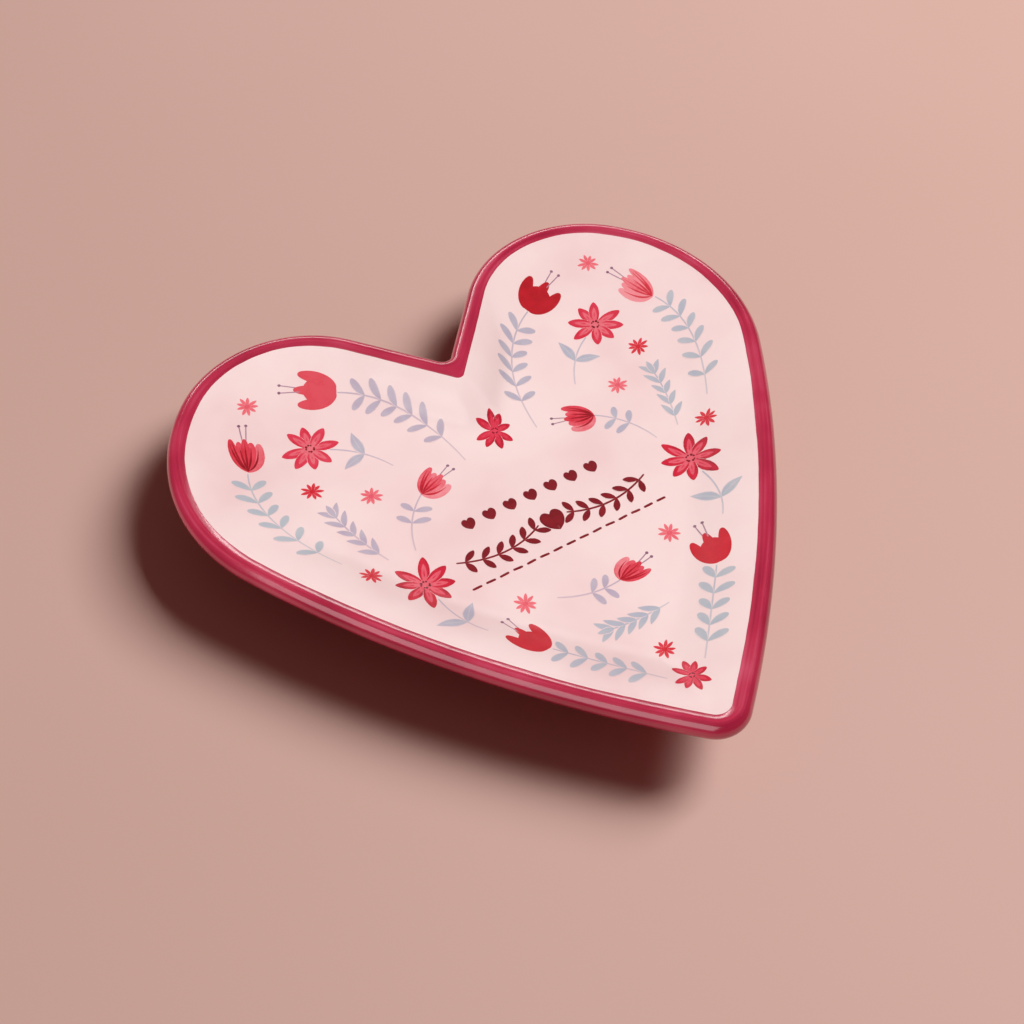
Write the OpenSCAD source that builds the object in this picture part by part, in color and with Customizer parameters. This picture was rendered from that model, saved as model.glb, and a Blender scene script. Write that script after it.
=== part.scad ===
// Heart-shaped trinket dish in glazed earthenware, with printed flowers.
// Origin: centre of the outline, on the plane of the foot. +Y runs to the
// notch, -Y to the tip, +Z up. All sizes in millimetres, angles in degrees.

/* [Outline] */
// Overall width, lobe to lobe
heart_w = 120; // [90:1:160]
// Slope of the straight beside the notch, from the X axis
notch_slope = 49.5; // [45:0.5:54]
// Radius over the top of each lobe
lobe_r = 24.5; // [20:0.5:28]
// Angle that the lobe arc turns through
lobe_turn = 93; // [88:1:98]
// Radius round the outside of each lobe
shoulder_r = 36.5; // [32:0.5:40]
// Angle that the shoulder arc turns through
shoulder_turn = 74; // [70:1:78]
// Angle that the long side arc turns through
side_turn = 19.5; // [16:0.5:22]
// Radius at the tip
tip_r = 6.5; // [6:0.5:9]
// Fillet in the notch
notch_r = 1.6; // [1:0.1:2.5]

/* [Section] */
// Height from the foot to the top of the lip
dish_h = 15; // [13:0.5:22]
// Depth from the top of the lip to the floor
dish_depth = 5.5; // [5:0.5:8]
// Radius of the rounded lip
lip_r = 2; // [1.5:0.1:2.2]
// Distance from the outer edge to the painted line inside the lip
paint_inset = 3.6; // [3.2:0.1:4]
// Thickness of the floor and wall, glaze included
wall_t = 4.2; // [3:0.1:5]
// Share of the way out from the middle at which the floor is still flat
flat_share = 0.56; // [0.45:0.01:0.6]
// Share of the way out over which the floor curves up into the wall
cove_share = 0.2; // [0.12:0.01:0.25]
// How fast the ridge under the notch grows rounder as it runs down to the floor
ridge_r = 20; // [8:1:24]
// Thickness of each glaze
glaze_t = 0.35; // [0.2:0.05:0.5]
// Thickness of the printed colours
print_t = 0.15; // [0.1:0.05:0.3]

/* [Foot ring] */
// Overall width of the foot ring
foot_w = 76; // [70:1:80]
// Width of the foot ring's wall
foot_t = 4; // [3:0.5:4.5]
// Height of the bare clay at the foot, where the glaze was wiped off
bare_h = 1; // [0.6:0.1:1.5]

/* [Hidden] */

// The point that the shape of the hollow shrinks towards
hub = [0, -heart_w / 20];
// Samples along the notch fillet, straight, lobe, shoulder, side and tip of half an outline
steps = [3, 3, 11, 10, 7, 4];
floor_z = dish_h - dish_depth;
lip_z = dish_h - lip_r;
// Angles from the top of the lip at which its arc runs into the wall and the flare
roll_in = 20;
roll_out = -135;
roll_step = 15.5;
line_z = lip_z + lip_r * cos(roll_in) - (paint_inset - lip_r - lip_r * sin(roll_in)) * tan(roll_in);
// Steepest rise of the wall per unit of share, so that it ends at the painted line
rise = (line_z - floor_z) / (cove_share / 2 + 0.75 * (1 - flat_share - cove_share));
white_notch_r = 1.2;
// Lobe, shoulder, tip and notch radii of the foot ring, and its distance from the X axis
foot_radii = [15.5, 23, 8, 5];
foot_y = -2;

// ---- outline: a chain of tangent arcs, worked out from the notch to the tip ----

// A point at distance r from c in the direction of the normal where the heading is h
function on_arc(c, r, h) = c + r * [-sin(h), cos(h)];

// Arc centres, radii and end headings of half a heart: [centres, radii, headings, notch height]
function chain(w, r1, r2, r4) =
    let (h0 = notch_slope, h1 = h0 - lobe_turn, h2 = h1 - shoulder_turn, h3 = h2 - side_turn,
         run = (w / 2 - r1 * (sin(h0) - sin(h1)) - r2 * (sin(h1) + 1)) / cos(h0),
         x2 = w / 2 - r2 * (1 + sin(h2)),
         r3 = (x2 + r4 * sin(h3)) / (sin(h3) - sin(h2)),
         c1 = run * [cos(h0), sin(h0)] - r1 * [-sin(h0), cos(h0)],
         c2 = on_arc(c1, r1 - r2, h1),
         c3 = on_arc(c2, r2 - r3, h2),
         c4 = on_arc(c3, r3 - r4, h3),
         lift = -(c1.y + r1 + c4.y - r4) / 2)
    [[for (c = [c1, c2, c3, c4]) c + [0, lift]], [r1, r2, r3, r4], [h0, h1, h2, h3, -180], lift];

main_chain = chain(heart_w, lobe_r, shoulder_r, tip_r);
foot_chain = chain(foot_w, foot_radii[0], foot_radii[1], foot_radii[2]);

// Right half of the outline, moved in by inset, with a fillet of radius fillet in the notch
function half_heart(ch, inset, fillet) =
    let (h = ch[2], v = ch[3] - inset / cos(h[0]), n = steps,
         start = [fillet * sin(h[0]), v + fillet / cos(h[0]) - fillet * cos(h[0])],
         end = on_arc(ch[0][0], ch[1][0] - inset, h[0]))
    concat(
        [for (i = [0:n[0]]) let (a = h[0] * i / n[0])
            [fillet * sin(a), v + fillet / cos(h[0]) - fillet * cos(a)]],
        [for (i = [1:n[1]]) start + (end - start) * i / n[1]],
        [for (k = [0:3], i = [1:n[k + 2]])
            on_arc(ch[0][k], ch[1][k] - inset, h[k] + (h[k + 1] - h[k]) * i / n[k + 2])]);

// The whole outline, clockwise from the notch
function heart(ch, inset, fillet) =
    let (half = half_heart(ch, inset, fillet), n = len(half))
    concat(half, [for (i = [n - 2:-1:1]) [-half[i].x, half[i].y]]);

// Fillet of the notch at an inset, and at a share of the way out to the painted line
function fillet_at(inset) =
    inset <= lip_r ? notch_r + inset
    : notch_r + lip_r + (white_notch_r - notch_r - lip_r) * (inset - lip_r) / (paint_inset - lip_r);
function ridge_at(share) = white_notch_r + ridge_r * (1 - share);

// ---- section ----

// Height of the hollow's surface at a share of the way out to the painted line
function dish_z(share) =
    let (t = (share - flat_share) / cove_share, m = share - flat_share - cove_share,
         far = 1 - flat_share - cove_share)
    t <= 0 ? floor_z
    : t < 1 ? floor_z + rise * cove_share * (pow(t, 3) - pow(t, 4) / 2)
    : floor_z + rise * (cove_share / 2 + m - m * m / (4 * far));

// Share of the ring whose notch fillet passes through a point near the ridge, by halving
function on_ridge(p, low, high, left) =
    let (share = (low + high) / 2, h = main_chain[2][0], f = ridge_at(share),
         v = main_chain[3] - paint_inset / cos(h) - hub.y,
         y = hub.y + share * (v + f / cos(h)) - sqrt(max(pow(share * f, 2) - p.x * p.x, 0)))
    left == 0 ? share
    : y > p.y ? on_ridge(p, low, share, left - 1)
    : on_ridge(p, share, high, left - 1);

// Share of the way out at a point of the plan, from the arc or straight that lies beyond it
function share_at(p) =
    let (x = abs(p.x), d = [x, p.y] - hub, u = d / max(norm(d), 0.001), phi = atan2(u.x, u.y),
         c = main_chain[0], r = main_chain[1] - [for (i = [0:3]) paint_inset], h = main_chain[2],
         joints = [for (i = [0:3]) let (q = on_arc(c[i], r[i], h[i]) - hub) atan2(q.x, q.y)],
         v = main_chain[3] - paint_inset / cos(h[0]),
         past = [for (i = [0:3]) if (phi > joints[i]) i],
         k = len(past) - 1,
         m = k < 0 ? [0, 0] : hub - c[k],
         b = m * u,
         reach = k < 0 ? (v - hub.y) / (u.y - u.x * tan(h[0])) : -b + sqrt(b * b - m * m + r[k] * r[k]),
         share = norm(d) / reach)
    k < 0 && x < share * ridge_at(share) * sin(h[0]) ? on_ridge(p, 0.3, 1, 12) : share;

function lift_at(p) = dish_z(share_at(p));

// A closed ring of 3D points: an outline shrunk towards the hub, at one height
function ring(inset, share, z) =
    let (fillet = share < 1 ? ridge_at(share) : fillet_at(inset))
    [for (p = heart(main_chain, inset, fillet)) let (q = hub + share * (p - hub)) [q.x, q.y, z]];

function foot_ring(inset, z) =
    [for (p = heart(foot_chain, inset, foot_radii[3] + inset)) [p.x, p.y + foot_y, z]];

floor_shares = [flat_share, 0.61, 0.66, 0.71, 0.76, 0.84, 0.92, 1];

// Rings up the hollow, from the edge of the flat floor to the painted line, sunk by a glaze or not
function hollow_rings(sink) = [for (s = floor_shares) ring(paint_inset, s, dish_z(s) - sink)];

// Rings over the lip, round an arc of radius lip_r less sink
function lip_rings(sink) =
    [for (a = [roll_in:-roll_step:roll_out])
        ring(lip_r + (lip_r - sink) * sin(a), 1, lip_z + (lip_r - sink) * cos(a))];

// Rings along the flared underside, parallel to the hollow
function flare_rings(sink) = [for (s = [0.93, 0.84, 0.75]) ring(paint_inset, s, dish_z(s) - wall_t + sink)];

recess_z = floor_z - wall_t;
// Rounding of the sponged edges of the foot
edge_r = 0.35;

// Rings down the outside of the foot, to the edge of the glaze
function foot_out_rings(sink) = [foot_ring(sink - 1, recess_z + 0.4 + sink),
                                 foot_ring(sink, recess_z - 1.2), foot_ring(sink, bare_h)];

// Rings up the inside of the foot, from the edge of the glaze to the recess
function foot_in_rings(sink) = [foot_ring(foot_t - sink, bare_h), foot_ring(foot_t - sink, recess_z - 1),
                                foot_ring(foot_t + 1 - sink, recess_z + sink)];

// Bare clay round the foot, with its edges sponged round
function bare_rings() = [foot_ring(glaze_t, edge_r), foot_ring(glaze_t + edge_r, 0),
                         foot_ring(foot_t - glaze_t - edge_r, 0), foot_ring(foot_t - glaze_t, edge_r)];

// ---- solids ----

function backwards(list) = [for (i = [len(list) - 1:-1:0]) list[i]];

// Skin over a stack of rings of equal length: capped at both ends, or closed into a loop
module loft(rings, looped = false) {
    n = len(rings[0]);
    last = len(rings) - 1;
    walls = [for (k = [0:looped ? last : last - 1], i = [0:n - 1])
        let (a = k * n, b = (k == last ? 0 : k + 1) * n, j = (i + 1) % n)
        each [[a + i, a + j, b + i], [a + j, b + j, b + i]]];
    caps = looped ? [] : [[for (i = [n - 1:-1:0]) i], [for (i = [0:n - 1]) last * n + i]];
    polyhedron([for (r = rings) each r], [for (f = concat(walls, caps)) backwards(f)], convexity = 6);
}

// Thin print on the hollow: an anticlockwise outline in the plan, fanned from its own middle
module film(outline, middle) {
    n = len(outline);
    plan = concat([middle], outline);
    top = [for (p = plan) [p.x, p.y, lift_at(p) + print_t]];
    under = [for (p = plan) [p.x, p.y, lift_at(p)]];
    m = n + 1;
    polyhedron(concat(top, under), [for (i = [1:n]) let (j = i % n + 1)
        each [[0, j, i], [m, m + i, m + j], [i, j, m + j], [i, m + j, m + i]]], convexity = 4);
}

// The printed transfer lies this far to the right of the middle
print_shift = [0.3, 0];

// A point of a motif's own plan, turned clockwise by turn, moved to at, and mirrored if side is -1
function place(p, at, turn, side) =
    let (q = at + [p.x * cos(turn) + p.y * sin(turn), p.y * cos(turn) - p.x * sin(turn)])
    print_shift + [side * q.x, q.y];

module motif(outline, middle, at, turn, side) {
    placed = [for (p = outline) place(p, at, turn, side)];
    film(side > 0 ? placed : backwards(placed), place(middle, at, turn, side));
}

// ---- motifs ----

// Petals round a middle: points at radius r between hollows at radius r * waist
module rosette(at, r, petals, waist, turn, side) {
    motif([for (i = [0:petals - 1], k = [0:2]) let (a = 360 * (i + k / 3) / petals,
              d = r * (k == 0 ? waist : 1 - 0.1 * (i % 2)))
              d * [cos(a), sin(a)]], [0, 0], at, turn, side);
}

// A cup of three petals, h high and w wide, centred on its own plan
module tulip(at, h, w, turn, side) {
    shape = [[0, 0], [0.3, 0.1], [0.46, 0.38], [0.54, 0.75], [0.44, 0.92], [0.22, 0.66], [0.06, 1],
             [-0.06, 1], [-0.22, 0.66], [-0.44, 0.92], [-0.54, 0.75], [-0.46, 0.38], [-0.3, 0.1]];
    motif([for (p = shape) [p.x * w, (p.y - 0.5) * h]], [0, -0.1 * h], at, turn, side);
}

module leaf(at, len, w, turn, side) {
    motif([[0, 0], [w / 2, 0.35 * len], [w * 0.4, 0.75 * len], [0, len], [-w * 0.4, 0.75 * len],
           [-w / 2, 0.35 * len]], [0, len / 2], at, turn, side);
}

// A point and a heading, clockwise from +Y, along a curve bent by one control point
function bend(c, t) = c[0] * pow(1 - t, 2) + c[1] * 2 * t * (1 - t) + c[2] * t * t;
function bend_turn(c, t) = let (d = (c[1] - c[0]) * (1 - t) + (c[2] - c[1]) * t) atan2(-d.x, -d.y);

stem_w = 0.4;
module stem(curve, side) {
    parts = 6;
    line = [for (i = [0:parts]) let (t = i / parts, a = bend_turn(curve, t)) [bend(curve, t), a]];
    edge = concat([for (l = backwards(line)) l[0] + stem_w / 2 * [cos(l[1]), -sin(l[1])]],
                  [for (l = line) l[0] - stem_w / 2 * [cos(l[1]), -sin(l[1])]]);
    n = parts + 1;
    plan = [for (p = edge) place(p, [0, 0], 0, side)];
    points = [for (e = [print_t, 0], p = plan) [p.x, p.y, lift_at(p) + e]];
    m = 2 * n;
    strips = [for (i = [0:n - 2]) let (a = i, b = i + 1, c = m - 2 - i, d = m - 1 - i)
        each [[a, c, b], [a, d, c], [m + a, m + b, m + c], [m + a, m + c, m + d]]];
    sides = [for (i = [0:m - 1]) let (j = (i + 1) % m) each [[i, j, m + j], [i, m + j, m + i]]];
    faces = concat(strips, sides);
    polyhedron(points, side > 0 ? faces : [for (f = faces) backwards(f)], convexity = 4);
}

// A stem that starts under a flower, with pairs of leaves that lean towards it
module sprig(curve, pairs, span, leaf_len, leaf_w, lean, side) {
    stem(curve, side);
    for (i = [0:pairs - 1], s = [-1, 1]) {
        t = span[0] + (span[1] - span[0]) * i / max(pairs - 1, 1);
        a = bend_turn(curve, t);
        root = bend(curve, t) + s * 0.45 * stem_w * [cos(a), -sin(a)];
        leaf(root, leaf_len[s < 0 ? 0 : 1], leaf_w, a + s * lean[s < 0 ? 0 : 1], side);
    }
}

// Sprig curves on the right half of the dish: start, control point and end
lobe_sprig = [[21.6, 42.1], [9.3, 35.8], [7.9, 16.1]];
outer_sprig = [[45.3, 31.6], [49.6, 21.1], [39.5, 4.9]];
daisy_stem = [[28.7, 31.4], [23.4, 28.7], [20.2, 21.9]];
bud_sprig = [[19, 13.2], [24.6, 9.1], [26.2, 2.2]];
fern = [[35.2, 16.9], [34.6, 10.6], [31.4, 2.8]];
lower_stem = [[28.2, -9.7], [28.3, -16.6], [24.6, -21]];
tip_sprig = [[17.1, -29.6], [10.4, -37.5], [3.8, -44.9]];
level_sprig = [[1.9, -22.1], [-4.3, -22.9], [-9.8, -19.6]];
level_fern = [[-5.1, -30.2], [0, -31.1], [6.6, -30.6]];

// ---- sub-parts ----

module clay_body() {
    color("antiquewhite")
        loft(concat(hollow_rings(glaze_t), lip_rings(glaze_t), flare_rings(glaze_t),
                    foot_out_rings(glaze_t), bare_rings(), foot_in_rings(glaze_t)));
}

module inner_glaze() {
    color("mistyrose")
        loft(concat(hollow_rings(0), backwards(hollow_rings(glaze_t))));
}

module rim_glaze() {
    outside = concat([ring(paint_inset, 1, line_z)], lip_rings(0), flare_rings(0), foot_out_rings(0));
    inside = concat([ring(paint_inset, 1, line_z - glaze_t)], lip_rings(glaze_t), flare_rings(glaze_t),
                    foot_out_rings(glaze_t));
    color("crimson")
        loft(concat(outside, backwards(inside)), looped = true);
}

module base_glaze() {
    color("mistyrose")
        loft(concat(backwards(foot_in_rings(glaze_t)), foot_in_rings(0)));
}

module tulip_prints() {
    color("firebrick") {
        for (side = [-1, 1]) {
            tulip([25.3, 43.9], 8.3, 8.3, 63, side);
            tulip([43.8, 35.6], 8, 6.6, -20, side);
            tulip([16.1, 14.3], 6.2, 6.4, -68, side);
            tulip([19, -25.8], 7.8, 6.3, 13, side);
        }
        tulip([4.7, -21.4], 5.8, 5.6, 77, 1);
    }
}

module daisy_prints() {
    color("indianred") {
        for (side = [-1, 1]) {
            rosette([32.1, 33.2], 5.6, 8, 0.45, 10, side);
            rosette([28.5, -5.5], 5.4, 8, 0.45, 0, side);
        }
        rosette([0.5, 19.5], 4.1, 8, 0.5, -12, 1);
        rosette([0.2, -46.3], 3.2, 8, 0.5, -19, 1);
    }
}

module star_prints() {
    color("lightcoral") {
        for (side = [-1, 1], at = [[38.5, 46.2], [36.2, 23.8], [27.2, 17.5], [36.1, 0.3], [15.3, -17.9]])
            rosette(at, 2.1, 8, 0.5, 8, side);
        rosette([0.2, -38.5], 2, 8, 0.5, 0, 1);
    }
}

module sprig_prints() {
    color("lightsteelblue") {
        for (side = [-1, 1]) {
            sprig(lobe_sprig, 6, [0.2, 0.8], [4, 3.6], 1.8, [38, 62], side);
            sprig(outer_sprig, 6, [0.2, 0.86], [3.3, 3.8], 1.7, [62, 42], side);
            sprig(daisy_stem, 1, [0.55, 0.55], [6.2, 5.4], 2.2, [42, 63], side);
            sprig(bud_sprig, 2, [0.32, 0.53], [3.2, 2.8], 1.4, [70, 62], side);
            sprig(fern, 5, [0.1, 0.72], [3.2, 3.2], 1.3, [34, 34], side);
            sprig(lower_stem, 1, [0.65, 0.65], [5.8, 5.6], 2.2, [62, 50], side);
            sprig(tip_sprig, 5, [0.16, 0.82], [3.4, 3.6], 1.7, [40, 56], side);
        }
        sprig(level_sprig, 2, [0.25, 0.42], [2.8, 2.6], 1.4, [70, 70], 1);
        sprig(level_fern, 5, [0.04, 0.66], [3, 3], 1.3, [34, 34], 1);
    }
}

// A small heart, r from its middle to its point
module little_heart(at, r) {
    shape = [[0, -1], [0.75, -0.1], [0.95, 0.45], [0.55, 0.85], [0.15, 0.7], [0, 0.4],
             [-0.15, 0.7], [-0.55, 0.85], [-0.95, 0.45], [-0.75, -0.1]];
    motif([for (p = shape) r * p], [0, 0], at, 0, 1);
}

// A leafy garland with a heart in its middle, between a row of hearts and a dashed line
module ornament_print() {
    garland_x = -1.2;
    dash = [2, 0.5];
    color("maroon") {
        for (i = [-3:3]) little_heart([i * 4.4 - 1.7, 2.6], 1.4);
        little_heart([garland_x, -4.6], 2.4);
        for (side = [-1, 1]) {
            garland = [for (p = [[3, -4.2], [11, -8.4], [20.2, -4]]) [p.x + side * garland_x, p.y]];
            sprig(garland, 6, [0.08, 0.92], [3, 3], 1.4, [52, 52], side);
        }
        for (i = [-7:7])
            motif([for (q = [[-1, -1], [1, -1], [1, 1], [-1, 1]]) [q.x * dash.x, q.y * dash.y] / 2], [0, 0],
                  [garland_x + i * 2.8, -10.6], 0, 1);
    }
}

clay_body();
inner_glaze();
rim_glaze();
base_glaze();
tulip_prints();
daisy_prints();
star_prints();
sprig_prints();
ornament_print();
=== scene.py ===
# Heart-shaped trinket dish: slip-cast earthenware, glazed blush white inside, with a brushed
# raspberry rim and printed flowers. Sizes are millimetres until a mesh is made, then metres.
import math

import bpy
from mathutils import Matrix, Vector, noise


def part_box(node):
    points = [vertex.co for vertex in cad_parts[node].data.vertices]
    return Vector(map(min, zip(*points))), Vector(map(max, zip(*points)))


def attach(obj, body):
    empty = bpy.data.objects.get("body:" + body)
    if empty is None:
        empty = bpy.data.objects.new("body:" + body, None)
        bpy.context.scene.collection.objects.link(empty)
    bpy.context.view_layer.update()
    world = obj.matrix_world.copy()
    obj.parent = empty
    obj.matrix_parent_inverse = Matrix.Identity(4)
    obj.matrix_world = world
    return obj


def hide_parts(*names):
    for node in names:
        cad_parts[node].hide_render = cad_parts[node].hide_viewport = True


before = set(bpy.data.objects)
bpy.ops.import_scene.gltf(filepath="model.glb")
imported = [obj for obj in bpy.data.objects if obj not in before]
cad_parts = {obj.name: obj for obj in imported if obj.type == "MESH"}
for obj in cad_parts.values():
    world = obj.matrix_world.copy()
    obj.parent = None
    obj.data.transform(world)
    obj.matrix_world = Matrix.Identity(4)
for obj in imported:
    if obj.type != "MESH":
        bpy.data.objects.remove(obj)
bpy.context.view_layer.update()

mm = 0.001
rimLow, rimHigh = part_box("rim_glaze")

# The shape of the dish. Widths and heights come from the rim glaze's box in model.glb, the radii are the
# part's own.
dish = {
    "width": (rimHigh.x - rimLow.x) / mm,
    "height": rimHigh.z / mm,
    "floorZ": 9.5,
    "hubY": -6.0,          # the hollow shrinks towards this point on the centre line
    "notchSlope": 49.5,
    "lobeRadius": 24.5,
    "lobeTurn": 93.0,
    "shoulderRadius": 36.5,
    "shoulderTurn": 74.0,
    "sideTurn": 19.5,
    "tipRadius": 6.5,
    "notchRadius": 1.6,
    "lipRadius": 2.0,
    "paintInset": 3.6,
    "paintedNotch": 1.2,   # fillet of the painted line in the notch
    "ridge": 20.0,         # how fast the ridge under it grows rounder on its way down
    "ridgeMost": 18.0,
    "flatShare": 0.56,     # floor is flat out to this share of the way to the painted line
    "coveShare": 0.20,
    "wall": 4.2,
    "rollIn": 20.0,        # lip arc runs from here, over the top, to rollOut
    "rollOut": -135.0,
    "glaze": 0.35,
    "sunk": 0.05,          # the blush coat lies this far under the raspberry one
}
foot = {
    "width": 76.0,
    "lobeRadius": 15.5,
    "shoulderRadius": 23.0,
    "tipRadius": 8.0,
    "notchRadius": 5.0,
    "centreY": -2.0,
    "wall": 4.0,
    "bare": 1.0,           # height to which the glaze was wiped off
    "recessFillet": 1.2,
}


def linear(hexColour):
    channels = [int(hexColour[i:i + 2], 16) / 255 for i in (1, 3, 5)]
    return [c / 12.92 if c <= 0.04045 else ((c + 0.055) / 1.055) ** 2.4 for c in channels] + [1.0]


def sinD(a):
    return math.sin(math.radians(a))


def cosD(a):
    return math.cos(math.radians(a))


def smooth(t):
    t = min(max(t, 0.0), 1.0)
    return t * t * (3 - 2 * t)


# The outline is a chain of tangent arcs from the notch to the tip, the same on both sides.
def heartChain(width, lobeRadius, shoulderRadius, tipRadius):
    h0 = dish["notchSlope"]
    h1 = h0 - dish["lobeTurn"]
    h2 = h1 - dish["shoulderTurn"]
    h3 = h2 - dish["sideTurn"]
    run = (width / 2 - lobeRadius * (sinD(h0) - sinD(h1)) - shoulderRadius * (sinD(h1) + 1)) / cosD(h0)
    shoulderEnd = width / 2 - shoulderRadius * (1 + sinD(h2))
    sideRadius = (shoulderEnd + tipRadius * sinD(h3)) / (sinD(h3) - sinD(h2))
    radii = [lobeRadius, shoulderRadius, sideRadius, tipRadius]
    centres = [Vector((run * cosD(h0) + lobeRadius * sinD(h0), run * sinD(h0) - lobeRadius * cosD(h0)))]
    for k, h in enumerate((h1, h2, h3)):
        step = radii[k] - radii[k + 1]
        centres.append(centres[k] + step * Vector((-sinD(h), cosD(h))))
    lift = -(centres[0].y + lobeRadius + centres[3].y - tipRadius) / 2
    return {
        "centres": [c + Vector((0, lift)) for c in centres],
        "radii": radii,
        "headings": [h0, h1, h2, h3, -180.0],
        "notchY": lift,
    }


def halfSamples(counts):
    samples = [(part, i / n) for part, n in enumerate(counts) for i in range(1, n + 1)]
    return [(0, 0.0)] + samples


def ringSamples(counts):
    half = halfSamples(counts)
    return [(1, s) for s in half] + [(-1, s) for s in reversed(half[1:-1])]


def outlinePoint(chain, sample, inset, fillet):
    side, (part, t) = sample
    slope = chain["headings"][0]
    if part < 2:
        vertex = chain["notchY"] - inset / cosD(slope)
        rise = vertex + fillet / cosD(slope)
        if part == 0:
            turned = slope * t
            return Vector((side * fillet * sinD(turned), rise - fillet * cosD(turned)))
        start = Vector((fillet * sinD(slope), rise - fillet * cosD(slope)))
        radius = chain["radii"][0] - inset
        end = chain["centres"][0] + radius * Vector((-sinD(slope), cosD(slope)))
        p = start.lerp(end, t)
        return Vector((side * p.x, p.y))
    k = part - 2
    h = chain["headings"][k] + (chain["headings"][k + 1] - chain["headings"][k]) * t
    p = chain["centres"][k] + (chain["radii"][k] - inset) * Vector((-sinD(h), cosD(h)))
    return Vector((side * p.x, p.y))


mainChain = heartChain(dish["width"], dish["lobeRadius"], dish["shoulderRadius"], dish["tipRadius"])
footChain = heartChain(foot["width"], foot["lobeRadius"], foot["shoulderRadius"], foot["tipRadius"])
samples = ringSamples([14, 32, 76, 84, 150, 36])  # about half a millimetre apart
hub = Vector((0, dish["hubY"]))
recessZ = dish["floorZ"] - dish["wall"]
lipZ = dish["height"] - dish["lipRadius"]
lineZ = (lipZ + dish["lipRadius"] * cosD(dish["rollIn"])
         - (dish["paintInset"] - dish["lipRadius"] * (1 + sinD(dish["rollIn"])))
         * math.tan(math.radians(dish["rollIn"])))
rampShare = 1 - dish["flatShare"] - dish["coveShare"]
steepest = (lineZ - dish["floorZ"]) / (dish["coveShare"] / 2 + 0.75 * rampShare)


def hollowZ(share):
    t = (share - dish["flatShare"]) / dish["coveShare"]
    if t <= 0:
        return dish["floorZ"]
    if t < 1:
        return dish["floorZ"] + steepest * dish["coveShare"] * (t ** 3 - t ** 4 / 2)
    m = t * dish["coveShare"] - dish["coveShare"]
    return dish["floorZ"] + steepest * (dish["coveShare"] / 2 + m - m * m / (4 * rampShare))


def filletAt(inset):
    lip = dish["lipRadius"]
    if inset <= lip:
        return dish["notchRadius"] + inset
    t = (inset - lip) / (dish["paintInset"] - lip)
    return dish["notchRadius"] + lip + (dish["paintedNotch"] - dish["notchRadius"] - lip) * t


def ridgeAt(share):
    return min(dish["paintedNotch"] + dish["ridge"] * (1 - share), dish["ridgeMost"])


lineInset = dish["paintInset"]
jointAngles = []
for k in range(4):
    edge = outlinePoint(mainChain, (1, (k + 2, 0.0)), lineInset, dish["paintedNotch"]) - hub
    jointAngles.append(math.atan2(edge.x, edge.y))


def shareAt(x, y):
    # how far out a point of the plan lies, from 0 at the hub to 1 at the painted line
    d = Vector((abs(x), y)) - hub
    length = d.length
    if length < 1e-6:
        return 0.0
    u = d / length
    phi = math.atan2(u.x, u.y)
    if phi <= jointAngles[0]:
        slope = mainChain["headings"][0]
        vertex = mainChain["notchY"] - lineInset / cosD(slope) - hub.y
        share = length * (u.y - u.x * math.tan(math.radians(slope))) / vertex
        if abs(x) >= share * ridgeAt(share) * sinD(slope):
            return share
        low, high = 0.3, 1.0
        for _ in range(14):        # halves its way to the ring whose notch fillet passes here
            share = (low + high) / 2
            bend = share * ridgeAt(share)
            ringY = hub.y + share * vertex + bend / cosD(slope) - math.sqrt(max(bend ** 2 - x * x, 0))
            low, high = (low, share) if ringY > y else (share, high)
        return share
    k = max(i for i in range(4) if phi > jointAngles[i])
    m = hub - mainChain["centres"][k]
    radius = mainChain["radii"][k] - lineInset
    b = m.dot(u)
    return length / (-b + math.sqrt(b * b - m.dot(m) + radius * radius))


def glazeTop(x, y):
    return hollowZ(shareAt(x, y)) - dish["sunk"]


def mainRing(inset, share, z):
    fillet = ridgeAt(share) if share < 1 else filletAt(min(max(inset, 0.0), lineInset))
    ring = []
    for s in samples:
        p = hub + share * (outlinePoint(mainChain, s, inset, fillet) - hub)
        ring.append(Vector((p.x, p.y, z)))
    return ring


def footRing(inset, z):
    ring = []
    for s in samples:
        p = outlinePoint(footChain, s, inset, foot["notchRadius"] + inset)
        ring.append(Vector((p.x, p.y + foot["centreY"], z)))
    return ring


def between(rings, steps):
    # smooth rings through a few given ones
    out = []
    last = len(rings) - 1
    for k in range(last):
        a, b, c, d = rings[max(k - 1, 0)], rings[k], rings[k + 1], rings[min(k + 2, last)]
        for i in range(steps):
            t = i / steps
            ring = []
            for p, q, r, s in zip(a, b, c, d):
                inward = (r - p) * 0.5
                outward = (s - q) * 0.5
                ring.append(q * (2 * t ** 3 - 3 * t ** 2 + 1) + inward * (t ** 3 - 2 * t ** 2 + t)
                            + r * (3 * t ** 2 - 2 * t ** 3) + outward * (t ** 3 - t ** 2))
            out.append(ring)
    return out + [rings[last]]


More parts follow.
